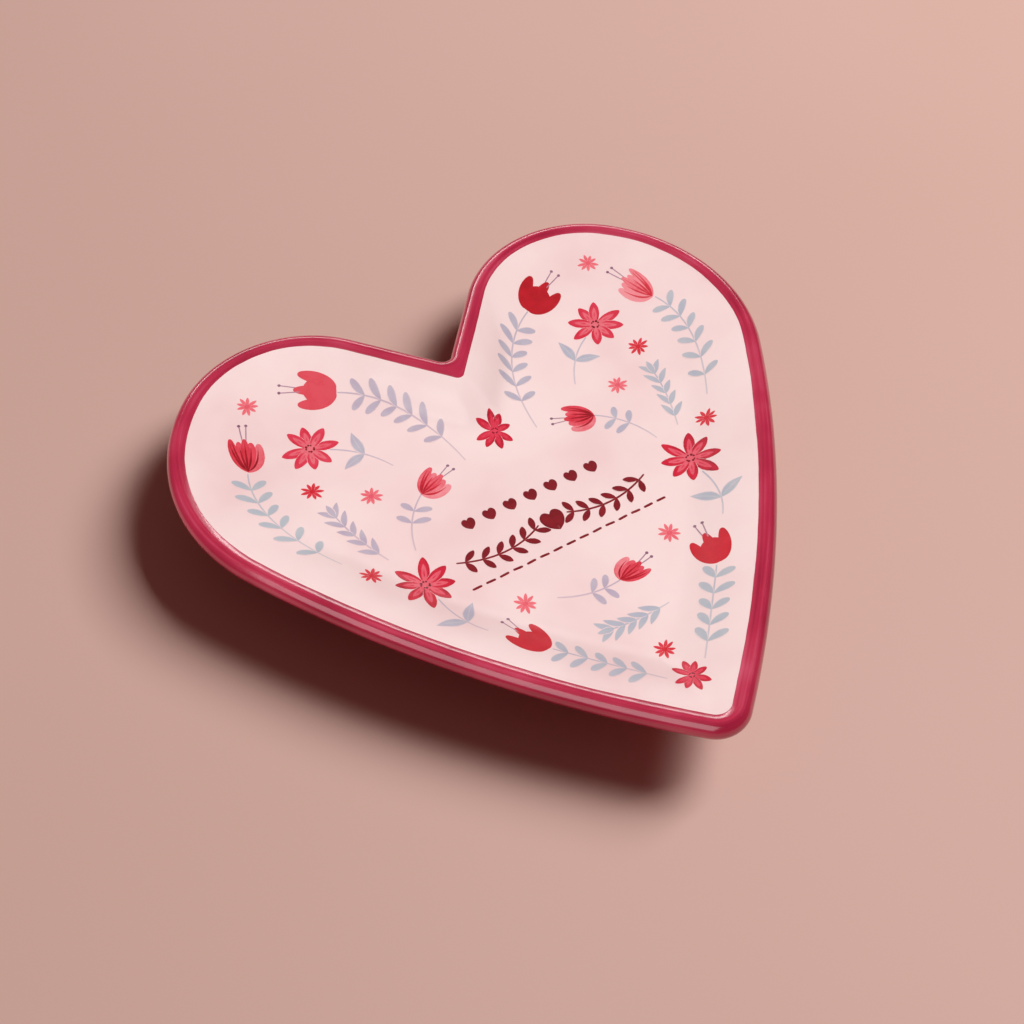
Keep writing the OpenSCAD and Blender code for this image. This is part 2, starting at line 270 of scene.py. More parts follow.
def loft(name, rings, looped=False, capFirst=False, capLast=False):
    count = len(rings[0])
    verts = [p * mm for ring in rings for p in ring]
    along = [0.0]
    for i in range(count):
        along.append(along[-1] + (rings[0][(i + 1) % count] - rings[0][i]).length)
    across = [0.0]
    probe = count // 3
    for k in range(len(rings)):
        across.append(across[-1] + (rings[(k + 1) % len(rings)][probe] - rings[k][probe]).length)
    faces = []
    uvs = []
    for k in range(len(rings) if looped else len(rings) - 1):
        low = k * count
        high = (k + 1) % len(rings) * count
        for i in range(count):
            j = (i + 1) % count
            faces.append((low + i, high + i, high + j, low + j))
            u0, u1, v0, v1 = along[i] / 100, along[i + 1] / 100, across[k] / 100, across[k + 1] / 100
            uvs += [(u0, v0), (u0, v1), (u1, v1), (u1, v0)]
    for wanted, low, flip in ((capFirst, 0, False), (capLast, (len(rings) - 1) * count, True)):
        if wanted:
            middle = sum((Vector(verts[low + i]) for i in range(count)), Vector((0, 0, 0))) / count
            middle.x = 0
            verts.append(middle)
            for i in range(count):
                j = (i + 1) % count
                pair = (low + j, low + i) if flip else (low + i, low + j)
                faces.append((len(verts) - 1,) + pair)
                uvs += [(0, 0), (along[i] / 100, 0), (along[i + 1] / 100, 0)]
    return makeObject(name, verts, faces, uvs)


def makeObject(name, verts, faces, uvs):
    mesh = bpy.data.meshes.new(name)
    mesh.from_pydata([tuple(v) for v in verts], [], faces)
    layer = mesh.uv_layers.new(name="UVMap")
    layer.data.foreach_set("uv", [c for uv in uvs for c in uv])
    mesh.polygons.foreach_set("use_smooth", [True] * len(mesh.polygons))
    mesh.update()
    obj = bpy.data.objects.new(name, mesh)
    bpy.context.scene.collection.objects.link(obj)
    return obj


def addAttribute(obj, name, values):
    layer = obj.data.attributes.new(name, "FLOAT", "POINT")
    layer.data.foreach_set("value", values)


def finishPiece(obj, material, slot, *replaced):
    obj.data.materials.append(material)
    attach(obj, "root")
    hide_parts(*replaced)
    lit["dish"].objects.link(obj)
    if "rim_glaze" in replaced:
        lit["rim"].objects.link(obj)


def addNode(tree, kind, inputs=None, stops=None, **settings):
    # an input may be a value, a socket, or a node whose first output is wanted
    node = tree.nodes.new(kind)
    for key, value in settings.items():
        setattr(node, key, value)
    for key, value in (inputs or {}).items():
        if isinstance(value, bpy.types.Node):
            value = value.outputs[0]
        if isinstance(value, bpy.types.NodeSocket):
            tree.links.new(value, node.inputs[key])
        else:
            node.inputs[key].default_value = value
    if stops:
        elements = node.color_ramp.elements
        while len(elements) < len(stops):
            elements.new(0.5)
        for element, (position, colour) in zip(elements, stops):
            element.position = position
            element.color = linear(colour)
    return node


def perMetre(sizeMm):
    # the scale of a noise whose blobs are about sizeMm across
    return 1 / (sizeMm * mm)


def newMaterial(name):
    material = bpy.data.materials.new(name)
    material.use_nodes = True
    tree = material.node_tree
    tree.nodes.clear()
    shader = addNode(tree, "ShaderNodeBsdfPrincipled")
    addNode(tree, "ShaderNodeOutputMaterial", {"Surface": shader})
    return material, tree, shader


glaze = {
    "ior": 1.52,           # a lead-free transparent glaze
    "roughness": 0.20,
    "coat": 0.9,
    "coatRoughness": 0.12,
    "softCoat": 0.6,       # inside the hollow the sheen is broader
    "softRoughness": 0.28,
    "rippleMm": 5.0,       # gentle unevenness where the glaze ran as it melted
    "peelMm": 0.9,
    "rippleDepth": 0.06,
    "wetRippleDepth": 0.05,
    "peelDepth": 0.008,
    "cloudMm": 22.0,
    "blush": ((0.30, "#e8cbca"), (0.48, "#edd5d3"), (0.66, "#f0dcd9")),
}


def glossyCoat(tree, shader, wet=False):
    shader.inputs["IOR"].default_value = glaze["ior"]
    shader.inputs["Roughness"].default_value = glaze["roughness" if wet else "softRoughness"]
    shader.inputs["Coat Weight"].default_value = glaze["coat" if wet else "softCoat"]
    shader.inputs["Coat Roughness"].default_value = glaze["coatRoughness" if wet else "softRoughness"]
    place = addNode(tree, "ShaderNodeTexCoord").outputs["Object"]
    waves = addNode(tree, "ShaderNodeTexNoise", {"Vector": place, "Scale": perMetre(glaze["rippleMm"]),
                                                 "Detail": 1.0})
    peel = addNode(tree, "ShaderNodeTexNoise", {"Vector": place, "Scale": perMetre(glaze["peelMm"]),
                                                "Detail": 1.0})
    depth = glaze["wetRippleDepth" if wet else "rippleDepth"] * mm
    wide = addNode(tree, "ShaderNodeBump", {"Height": waves, "Distance": depth, "Strength": 1.0})
    fine = addNode(tree, "ShaderNodeBump", {"Height": peel, "Distance": glaze["peelDepth"] * mm,
                                            "Strength": 1.0, "Normal": wide})
    for socket in ("Normal", "Coat Normal"):
        tree.links.new(fine.outputs["Normal"], shader.inputs[socket])


def blushColour(tree):
    # the milky pink of the inner glaze, cloudy where it lies thick and thin
    place = addNode(tree, "ShaderNodeTexCoord").outputs["Object"]
    clouds = addNode(tree, "ShaderNodeTexNoise", {"Vector": place, "Scale": perMetre(glaze["cloudMm"]),
                                                  "Detail": 3.0})
    return addNode(tree, "ShaderNodeValToRGB", {"Fac": clouds}, stops=glaze["blush"]).outputs["Color"]


def makeBlushGlaze():
    # blush-white gloss glaze, dipped: an even milky pink under a wet-looking surface
    material, tree, shader = newMaterial("BlushGlossGlaze")
    tree.links.new(blushColour(tree), shader.inputs["Base Color"])
    glossyCoat(tree, shader)
    return material


rimPaint = {
    "colours": ((0.0, "#8f1030"), (0.45, "#b42a49"), (1.0, "#cf5c76")),  # thick paint to thin
    "strokeMm": 34.0,      # length of a brush streak
    "strokeWidthMm": 0.75,  # real bristle marks are finer, these are as coarse as they need to show
    "patchMm": 14.0,
    "toneRange": (0.65, 1.65),
    "wear": 0.10,          # how much thinner the paint is on the crest and at its edge
}


def makeRaspberry():
    # raspberry glaze brushed along the lip: lengthwise streaks, paler where the brush left it thin
    material, tree, shader = newMaterial("BrushedRaspberryGlaze")
    uv = addNode(tree, "ShaderNodeUVMap", uv_map="UVMap")
    stretch = (100 / rimPaint["strokeMm"], 100 / rimPaint["strokeWidthMm"], 1.0)
    combed = addNode(tree, "ShaderNodeMapping", {"Vector": uv, "Scale": stretch})
    streaks = addNode(tree, "ShaderNodeTexNoise", {"Vector": combed, "Scale": 1.0, "Detail": 3.0,
                                                   "Roughness": 0.55})
    place = addNode(tree, "ShaderNodeTexCoord").outputs["Object"]
    patches = addNode(tree, "ShaderNodeTexNoise", {"Vector": place, "Scale": perMetre(rimPaint["patchMm"])})
    thin = addNode(tree, "ShaderNodeAttribute", attribute_name="thin").outputs["Fac"]
    tone = addNode(tree, "ShaderNodeMath", {0: streaks, 1: patches}, operation="ADD")
    tone = addNode(tree, "ShaderNodeMath", {0: tone, 1: thin}, operation="ADD")
    low, high = rimPaint["toneRange"]
    spread = addNode(tree, "ShaderNodeMapRange", {"Value": tone, "From Min": low, "From Max": high})
    colour = addNode(tree, "ShaderNodeValToRGB", {"Fac": spread}, stops=rimPaint["colours"])
    tree.links.new(colour.outputs["Color"], shader.inputs["Base Color"])
    glossyCoat(tree, shader, wet=True)
    return material


clay = {
    "colours": ((0.3, "#d9cdb9"), (0.7, "#f0e8da")),
    "gritMm": 0.5,         # real grit is finer, this is as coarse as it needs to show
    "gritDepth": 0.08,
    "roughness": 0.85,
}


def makeClay():
    # bisque earthenware where the glaze was wiped off: dry, chalky and finely gritty
    material, tree, shader = newMaterial("BareWhiteEarthenware")
    place = addNode(tree, "ShaderNodeTexCoord").outputs["Object"]
    grit = addNode(tree, "ShaderNodeTexNoise", {"Vector": place, "Scale": perMetre(clay["gritMm"]),
                                                "Detail": 4.0})
    colour = addNode(tree, "ShaderNodeValToRGB", {"Fac": grit}, stops=clay["colours"])
    tree.links.new(colour.outputs["Color"], shader.inputs["Base Color"])
    shader.inputs["Roughness"].default_value = clay["roughness"]
    bump = addNode(tree, "ShaderNodeBump", {"Height": grit, "Distance": clay["gritDepth"] * mm,
                                            "Strength": 0.8})
    tree.links.new(bump.outputs["Normal"], shader.inputs["Normal"])
    return material


ink = {
    "grainMm": 0.5,        # real pigment grain is finer, this is as coarse as it needs to show
    "poolMm": 2.6,
    "ragged": 0.16,        # how far the grain eats into an edge
    "pooling": 0.7,
    "speckle": 0.35,
    "strength": 0.66,
    "stops": (0.0, 0.33, 0.66, 0.95),
    "solidWash": 10.0,     # a wash stronger than this has no soft edge
}


inkRecipes = {             # colours from a thin wash to a full brush, soft edge, dark edge, washed out
    "RedWatercolourPrint": (("#d84a58", "#cc1f30", "#b41422", "#8c0a16"), 0.07, 0.0, 0.0),
    "StripedWatercolourPrint": (("#ea8a92", "#dc4656", "#c41c30", "#8c0a18"), 0.10, 0.06, 0.0),
    "MauveFinePrint": (("#c0a0b4", "#9a7089", "#6b3c55", "#4c2038"), 0.15, 0.1, 0.0),
    "CoralWatercolourPrint": (("#e2727c", "#dc4058", "#cc1c38", "#640c18"), 0.10, 0.10, 0.0),
    "LightCoralPrint": (("#ee8e94", "#ea707a", "#de5464", "#cc3a4a"), 0.2, 0.1, 0.0),
    "BrightRedPrint": (("#e0505c", "#d83444", "#cb1c2a", "#b00e1c"), 0.2, 0.1, 0.0),
    "BlueGreyWashPrint": (("#a9b7be", "#aeb2c0", "#b3a8ba", "#b8a3b6"), 0.36, 0.10, 0.15),
    "DarkMaroonPrint": (("#98242c", "#801822", "#640e16", "#480a10"), 0.12, 0.1, 0.0),
}


def makeInk(name):
    # ceramic colour printed like watercolour and sunk in the glaze: mottled, pooled at the edge
    material, tree, shader = newMaterial(name)
    colours, softEdge, edgeDark, washOut = inkRecipes[name]
    uv = addNode(tree, "ShaderNodeUVMap", uv_map="UVMap")
    across = addNode(tree, "ShaderNodeSeparateXYZ", {"Vector": uv}).outputs["X"]
    depth = addNode(tree, "ShaderNodeAttribute", attribute_name="depth").outputs["Fac"]
    wash = addNode(tree, "ShaderNodeAttribute", attribute_name="wash").outputs["Fac"]
    place = addNode(tree, "ShaderNodeTexCoord").outputs["Object"]
    grain = addNode(tree, "ShaderNodeTexNoise", {"Vector": place, "Scale": perMetre(ink["grainMm"]),
                                                 "Detail": 3.0})
    pools = addNode(tree, "ShaderNodeTexNoise", {"Vector": place, "Scale": perMetre(ink["poolMm"])})
    # from 0 along the middle of a stroke to 1 at either side, with a ragged border
    edge = addNode(tree, "ShaderNodeMath", {0: across, 1: 2.0, 2: -1.0}, operation="MULTIPLY_ADD")
    edge = addNode(tree, "ShaderNodeMath", {0: edge}, operation="ABSOLUTE")
    bite = ink["ragged"]
    ragged = addNode(tree, "ShaderNodeMath", {0: grain, 1: bite, 2: -bite / 2}, operation="MULTIPLY_ADD")
    ragged = addNode(tree, "ShaderNodeMath", {0: edge, 1: ragged}, operation="ADD")
    rimmed = addNode(tree, "ShaderNodeMapRange", {"Value": ragged, "From Min": 0.45, "From Max": 0.9,
                                                  "To Max": edgeDark}, interpolation_type="SMOOTHSTEP")
    tone = addNode(tree, "ShaderNodeMath", {0: depth, 1: rimmed}, operation="ADD")
    for noiseNode, amount in ((pools, ink["pooling"]), (grain, ink["speckle"])):
        shift = addNode(tree, "ShaderNodeMath", {0: noiseNode, 1: amount, 2: -amount / 2},
                        operation="MULTIPLY_ADD")
        tone = addNode(tree, "ShaderNodeMath", {0: tone, 1: shift}, operation="ADD")
    tone = addNode(tree, "ShaderNodeMath", {0: tone, 1: ink["strength"]}, operation="MULTIPLY")
    colour = addNode(tree, "ShaderNodeValToRGB", {"Fac": tone}, stops=list(zip(ink["stops"], colours)))
    fade = addNode(tree, "ShaderNodeMapRange", {"Value": ragged, "From Min": 1 - softEdge, "From Max": 1.0,
                                                "To Min": 1.0, "To Max": 0.0},
                   interpolation_type="SMOOTHSTEP")
    solid = addNode(tree, "ShaderNodeMath", {0: wash, 1: ink["solidWash"]}, operation="GREATER_THAN")
    opacity = addNode(tree, "ShaderNodeMath", {0: fade, 1: wash, 2: solid}, operation="MULTIPLY_ADD")
    if washOut:
        thinner = addNode(tree, "ShaderNodeMapRange", {"Value": pools, "From Min": 0.3, "From Max": 0.7,
                                                       "To Min": 1 - washOut, "To Max": 1.0})
        opacity = addNode(tree, "ShaderNodeMath", {0: opacity, 1: thinner}, operation="MULTIPLY")
    mix = addNode(tree, "ShaderNodeMix", {"Factor": opacity, "A": blushColour(tree),
                                          "B": colour.outputs["Color"]}, data_type="RGBA")
    tree.links.new(mix.outputs["Result"], shader.inputs["Base Color"])
    glossyCoat(tree, shader)
    return material


def lipRings(sink, step):
    rings = []
    radius = dish["lipRadius"] - sink
    angle = dish["rollIn"]
    while angle >= dish["rollOut"] - 0.01:
        rings.append(mainRing(dish["lipRadius"] + radius * sinD(angle), 1, lipZ + radius * cosD(angle)))
        angle -= step
    return rings


def undersideRings(sink, steps):
    # from the end of the lip's arc, along the flare, to the bottom of the glaze on the foot
    keys = [lipRings(sink, -dish["rollOut"] + dish["rollIn"])[-1]]
    keys += [mainRing(lineInset, s, hollowZ(s) - dish["wall"] + sink) for s in (0.93, 0.84, 0.75)]
    keys += [footRing(sink - 1, recessZ + 0.4 + sink), footRing(sink, recessZ - foot["recessFillet"]),
             footRing(sink, foot["bare"])]
    return between(keys, steps)[1:]


def makeClayBody(material):
    glazed = dish["glaze"]
    hollow = [mainRing(lineInset, s, hollowZ(s) - glazed) for s in (0.3, 0.56, 0.66, 0.76, 0.86, 1.0)]
    sole = [(glazed, 0.75), (glazed, 0.3), (glazed + 0.1, 0.1), (glazed + 0.35, 0.0)]
    wall = foot["wall"]
    outer = [footRing(inset, z) for inset, z in sole]
    inner = [footRing(wall - inset, z) for inset, z in reversed(sole)]
    recess = recessZ + glazed
    inner += [footRing(wall - glazed, foot["bare"]), footRing(wall - glazed, recess - foot["recessFillet"]),
              footRing(wall + 0.6, recess), footRing(wall + 4, recess)]
    rings = hollow + lipRings(glazed, 15) + undersideRings(glazed, 2) + outer + inner
    body = loft("clayBody", rings, capFirst=True, capLast=True)
    finishPiece(body, material, "clay", "clay_body")


def makeInnerGlaze(material):
    sunk = dish["sunk"]
    flat = dish["flatShare"]
    shares = [0.02 + (flat - 0.02) * k / 12 for k in range(12)]
    shares += [flat + (1 - flat) * k / 40 for k in range(41)]
    top = [mainRing(lineInset, s, hollowZ(s) - sunk) for s in shares]
    lip = lipRings(sunk, 5)[:4]
    thick = dish["glaze"]
    under = [mainRing(lineInset, s, hollowZ(s) - thick) for s in (1.0, 0.86, 0.76, 0.66, 0.56, 0.3)]
    coat = loft("innerGlaze", top + lip + under, capFirst=True, capLast=True)
    finishPiece(coat, material, "blush_glaze", "inner_glaze")


brush = {
    "waver": 0.16,         # how far the hand-painted edge strays
    "shake": 0.05,
    # the brushed coat rises out of the blush one: how far out and how far down each ring of it is
    "feather": ((0.0, 0.11), (0.08, 0.03), (0.2, 0.018), (0.36, 0.004)),
}


def strayAt(p):
    slow = noise.noise(Vector((p.x, p.y, 0)) * 0.09)
    quick = noise.noise(Vector((p.x, p.y, 7)) * 0.45)
    return brush["waver"] * slow + brush["shake"] * quick


def makeRimGlaze(material):
    line = mainRing(lineInset, 1, lineZ)
    lip = lipRings(0, 5)
    strays = [strayAt(p) for p in line]
    feather = []
    for out, drop in brush["feather"]:
        ring = []
        for p, q, stray in zip(line, lip[0], strays):
            along = (q - p).normalized()
            ring.append(p + along * (out - stray) - Vector((0, 0, drop)))
        feather.append(ring)
    outer = feather + lip + undersideRings(0, 6)
    glazed = dish["glaze"]
    inner = [mainRing(lineInset - 0.2, 1, lineZ - glazed)]
    inner += lipRings(glazed, 15) + undersideRings(glazed, 2)
    rings = outer + inner[::-1]
    coat = loft("rimGlaze", rings, looped=True)
    count = len(samples)
    thin = []
    for k in range(len(rings)):
        angle = dish["rollIn"] - 5 * (k - len(feather))
        crest = rimPaint["wear"] * math.exp(-((angle + 8) / 20) ** 2) if k < len(outer) else 0.0
        edge = rimPaint["wear"] if k < len(feather) else 0.0
        thin += [crest + edge] * count
    addAttribute(coat, "thin", thin)
    finishPiece(coat, material, "raspberry_glaze", "rim_glaze")


def makeBaseGlaze(material):
    wall = foot["wall"]
    glazed = dish["glaze"]
    rise = recessZ - foot["recessFillet"]
    upper = [footRing(wall + 4, recessZ + glazed), footRing(wall + 0.6, recessZ + glazed),
             footRing(wall - glazed, rise), footRing(wall - glazed, foot["bare"])]
    lower = [footRing(wall, foot["bare"]), footRing(wall, rise), footRing(wall + 0.3, recessZ - 0.4),
             footRing(wall + 1, recessZ), footRing(wall + 4, recessZ)]
    coat = loft("baseGlaze", upper + between(lower, 4), capFirst=True, capLast=True)
    finishPiece(coat, material, "base_glaze", "base_glaze")


printing = {
    "film": 0.02,          # how proud of the glaze a print stands
    "layer": 0.003,        # each stroke laid over the last
    "root": 0.03,          # how far its underside goes below the surface
    "offCentre": (0.3, 0.0),  # the whole transfer was laid a little off the dish's middle
}
strokeShapes = {           # where it is widest, how fine its start is, how fine its tip is
    "paddle": (0.60, 0.75, 0.45),
    "lance": (0.42, 0.80, 1.05),
    "feather": (0.45, 0.60, 0.80),
    "petal": (0.55, 0.80, 0.62),
    "finger": (0.58, 0.50, 0.42),
    "blade": (0.64, 0.95, 0.42),
    "lobe": (0.70, 1.00, 0.50),
    "dot": (0.50, 0.50, 0.50),
    "bar": (0.50, 0.08, 0.08),
}
opaque = (30.0, 30.0)      # a wash this strong has no soft edge


def newSheet():
    return {"verts": [], "faces": [], "uvs": [], "depth": [], "wash": [], "layers": 0}


def addStroke(sheet, spine, width, shape, depth=(0.4, 0.4), wash=(1.0, 1.0), across=6, along=12):
    # one brush mark: a closed film that follows the hollow along a spine of plan points
    peak, base, tip = strokeShapes[shape]
    first = len(sheet["verts"])
    raised = printing["film"] + printing["layer"] * sheet["layers"]
    sheet["layers"] += 1
    top = []
    under = []
    for j in range(along + 1):
        t = 0.5 - 0.5 * math.cos(math.pi * j / along)
        p = spine(t)
        d = (spine(min(t + 0.01, 1.0)) - spine(max(t - 0.01, 0.0))).normalized()
        sideways = Vector((d.y, -d.x))
        if t < peak:
            spread = math.sin(math.pi / 2 * t / peak) ** base
        else:
            spread = max(math.sin(math.pi / 2 * (1 - t) / (1 - peak)), 0) ** tip
        half = 0.5 * width * spread + 0.012
        for i in range(across + 1):
            q = p + sideways * half * (2 * i / across - 1)
            z = glazeTop(q.x, q.y)
            top.append(Vector((q.x, q.y, z + raised)) * mm)
            under.append(Vector((q.x, q.y, z - printing["root"])) * mm)
            sheet["depth"].append(depth[0] + (depth[1] - depth[0]) * t)
            sheet["wash"].append(wash[0] + (wash[1] - wash[0]) * t)
    row = across + 1
    size = len(top)
    sheet["verts"] += top + under
    sheet["depth"] += sheet["depth"][-size:]
    sheet["wash"] += sheet["wash"][-size:]
    for j in range(along):
        for i in range(across):
            a = first + j * row + i
            b = a + row
            u0, u1, v0, v1 = i / across, (i + 1) / across, j / along, (j + 1) / along
            sheet["faces"].append((a, a + 1, b + 1, b))
            sheet["uvs"] += [(u0, v0), (u1, v0), (u1, v1), (u0, v1)]
            sheet["faces"].append((size + a, size + b, size + b + 1, size + a + 1))
            sheet["uvs"] += [(u0, v0), (u0, v1), (u1, v1), (u1, v0)]
    border = [i for i in range(row)] + [j * row + across for j in range(1, along + 1)]
    border += [along * row + i for i in range(across - 1, -1, -1)]
    border += [j * row for j in range(along - 1, 0, -1)]
    for n, a in enumerate(border):
        b = border[(n + 1) % len(border)]
        sheet["faces"].append((first + b, first + a, size + first + a, size + first + b))
        sheet["uvs"] += [(0.0, 0.5)] * 4


def placed(at, turn, side):
    # turns a motif's own plan clockwise, moves it, and mirrors it on the left half
    def toDish(p):
        x = at[0] + p[0] * cosD(turn) + p[1] * sinD(turn)
        y = at[1] - p[0] * sinD(turn) + p[1] * cosD(turn)
        return Vector((side * x, y)) + Vector(printing["offCentre"])
    return toDish


def line2(toDish, a, b):
    return lambda t: toDish((a[0] + (b[0] - a[0]) * t, a[1] + (b[1] - a[1]) * t))


def curve3(toDish, a, b, c):
    return lambda t: toDish([a[k] * (1 - t) ** 2 + b[k] * 2 * t * (1 - t) + c[k] * t * t for k in (0, 1)])


def finishSheet(name, sheet, material, slot, node):
    obj = makeObject(name, sheet["verts"], sheet["faces"], sheet["uvs"])
    edges = {}
    for poly in obj.data.polygons:
        for key in poly.edge_keys:
            edges.setdefault(key, []).append(poly.index)
    flat = [abs(p.normal.z) < 0.35 for p in obj.data.polygons]
    for edge in obj.data.edges:
        pair = edges[edge.key]
        edge.use_edge_sharp = flat[pair[0]] != flat[pair[-1]]
    addAttribute(obj, "depth", sheet["depth"])
    addAttribute(obj, "wash", sheet["wash"])
    finishPiece(obj, material, slot, node)


def daisy(name, at, radius, petals, side, material, tones):
    # outlined petals of uneven length, a lighter heart to each and a ring of dots in the middle
    sheet = newSheet()
    toDish = placed(at, 0, side)
    outline, inner = tones
    rays = [(sinD(a), cosD(a), radius * reach) for a, reach in petals]
    for x, y, reach in rays:
        addStroke(sheet, line2(toDish, (0, 0), (x * reach, y * reach)), radius * 0.40, "petal",
                  (outline, outline + 0.05), across=8, along=14)
    for x, y, reach in rays:
        tip = (x * reach * 0.76, y * reach * 0.76)
        addStroke(sheet, line2(toDish, (0, 0), tip), radius * 0.18, "petal", (inner, inner + 0.12), opaque,
                  across=6, along=12)
    addStroke(sheet, line2(toDish, (0, -0.22 * radius), (0, 0.22 * radius)), radius * 0.44, "dot",
              (inner, inner), opaque, across=8, along=8)
    for x, y, reach in rays:
        near, far = 0.34 * radius, 0.58 * reach
        addStroke(sheet, line2(toDish, (x * near, y * near), (x * far, y * far)), radius * 0.045, "lance",
                  (outline, inner + 0.1), opaque, across=2, along=6)
    for k in range(8):
        a = 45 * k + 9 * math.sin(k * 2.9)
        x, y = sinD(a) * radius * 0.14, cosD(a) * radius * 0.14
        dot = radius * (0.036 + 0.010 * math.sin(k * 1.7))
        addStroke(sheet, line2(toDish, (x - dot, y), (x + dot, y)), 2 * dot, "dot", (1.35, 1.35), opaque,
                  across=4, along=6)
    finishSheet(name, sheet, material, "coral_print", "daisy_prints")


def star(name, at, radius, turn, side, material):
    sheet = newSheet()
    toDish = placed(at, turn, side)
    for k in range(9):
        a = 40 * k + 4 * math.sin(k * 2.4 + at[0])
        reach = radius * (1.0 + 0.08 * math.sin(k * 1.7 + at[1]))
        ray = (sinD(a), cosD(a))
        tip = (ray[0] * reach, ray[1] * reach)
        addStroke(sheet, line2(toDish, (0, 0), tip), radius * 0.34, "petal", (0.75, 0.45), (1.3, 1.1),
                  across=4, along=10)
    middle = 0.23 * radius
    addStroke(sheet, line2(toDish, (0, -middle), (0, middle)), 2 * middle, "dot", (0.9, 0.9), opaque,
              across=4, along=6)
    finishSheet(name, sheet, material, "star_print", "star_prints")


def tulip(name, at, height, width, turn, side, inks, kind, tone):
    # plain cups have three rounded fingers; striped ones a fan of petals, the broad one palest
    sheet = newSheet()
    toDish = placed(at, turn, side)
    hand = -1 if kind == "plainMirrored" else 1
    plain = kind != "striped"

    def spot(x, y):
        return (x * width, (y - 0.5) * height)

    def petal(points, wide, shape, depth, wash):
        spine = curve3(toDish, *[spot(x * hand, y) for x, y in points])
        addStroke(sheet, spine, wide * width, shape, depth, wash, across=8, along=16)

    if plain:
        petal([(0, 0), (0, 0.28), (0, 0.78)], 0.76, "finger", (tone, tone), opaque)
        petal([(0, 0.1), (0, 0.5), (0, 1.0)], 0.28, "finger", (tone, tone), opaque)
        petal([(-0.05, 0.02), (-0.40, 0.26), (-0.42, 0.90)], 0.34, "finger", (tone, tone), opaque)
        petal([(0.05, 0.02), (0.34, 0.26), (0.46, 0.90)], 0.34, "finger", (tone, tone), opaque)
    else:
        petal([(0.02, 0), (-0.42, 0.10), (-0.44, 0.80)], 0.38, "blade", (tone - 0.3, tone - 0.4),
              (1.0, 0.9))
        petal([(0, 0), (-0.20, 0.4), (-0.20, 0.84)], 0.30, "blade", (tone - 0.1, tone - 0.2), opaque)
        petal([(0, 0), (0.34, 0.24), (0.41, 0.97)], 0.30, "blade", (tone, tone - 0.1), (1.5, 1.3))
        petal([(0, 0), (0.14, 0.4), (0.17, 0.88)], 0.26, "blade", (tone - 0.05, tone - 0.2), opaque)
        petal([(0, 0), (-0.02, 0.4), (-0.02, 0.95)], 0.26, "blade", (tone + 0.05, tone), opaque)
        for points in ([(0, 0.04), (-0.01, 0.4), (-0.02, 0.86)], [(0.01, 0.03), (0.24, 0.28), (0.36, 0.88)],
                       [(0, 0.03), (-0.17, 0.36), (-0.19, 0.70)], [(0, 0.03), (0.12, 0.36), (0.15, 0.72)],
                       [(0, 0.03), (0.30, 0.22), (0.44, 0.84)], [(0, 0.03), (-0.36, 0.16), (-0.40, 0.66)]):
            petal(points, 0.06, "lance", (tone + 0.75, tone + 0.45), opaque)
    finishSheet(name, sheet, inks[0] if plain else inks[1], "red_print", "tulip_prints")
    threads = newSheet()
    lean = 0.0 if plain else -0.04
    for s in (-1, 1):
        root = spot(lean / 2 + s * 0.05, 0.84)
        tip = spot(lean + s * 0.11, 1.32)
        addStroke(threads, line2(toDish, root, tip), 0.22, "bar", (0.4, 0.5), (0.9, 0.95),
                  across=2, along=6)
        below, above = (tip[0], tip[1] - 0.32), (tip[0], tip[1] + 0.32)
        addStroke(threads, line2(toDish, below, above), 0.64, "dot", (0.7, 0.7), (1.2, 1.2),
                  across=4, along=6)
    finishSheet(name + "_stamens", threads, inks[2], "maroon_print", "tulip_prints")


def aside(ray, degrees):
    # the same direction leant over, clockwise
    a = math.radians(degrees)
    return Vector((ray.x * math.cos(a) + ray.y * math.sin(a), -ray.x * math.sin(a) + ray.y * math.cos(a)))


def sprig(name, plan, side, material, tint):
    # the flower or the tip is at the start of the stem; tint runs from 0, teal grey, to 1, mauve grey
    sheet = newSheet()
    toDish = placed((0, 0), 0, side)
    spine = curve3(toDish, *plan["points"])
    shape = plan["shape"]
    addStroke(sheet, spine, 0.36, "bar", (tint + 0.2, tint + 0.3), (0.95, 0.6), across=2, along=24)

    def leaf(root, ray, length, bow):
        middle = root + ray * length * 0.5 + Vector((ray.y, -ray.x)) * bow * length
        blade = curve3(Vector, root, middle, root + ray * length)
        addStroke(sheet, blade, plan["width"], shape, (tint, tint), (1.05, 0.95), across=8, along=12)
        if shape == "lance":
            addStroke(sheet, blade, 0.16, "lance", (tint - 0.6, tint - 0.5), (1.0, 0.8), across=2, along=8)

    first, last = plan["span"]
    for k in range(plan["pairs"]):
        t = first + (last - first) * k / max(plan["pairs"] - 1, 1)
        d = (spine(max(t - 0.02, 0)) - spine(min(t + 0.02, 1))).normalized()
        grow = 0.95 + 0.07 * math.sin(k * 2.1)
        for which, s in ((0, -1), (1, 1)):
            ray = aside(d, (plan["lean"][which] + 4 * math.sin(k * 1.3 + which)) * s * side)
            leaf(spine(t) + ray * 0.1, ray, plan["lengths"][which] * grow, -s * side * 0.10)
    if plan["end"]:
        d = (spine(0) - spine(0.03)).normalized()
        leaf(spine(0) - d * 0.4, d, plan["end"], 0.0)
    finishSheet(name, sheet, material, "sprig_print", "sprig_prints")


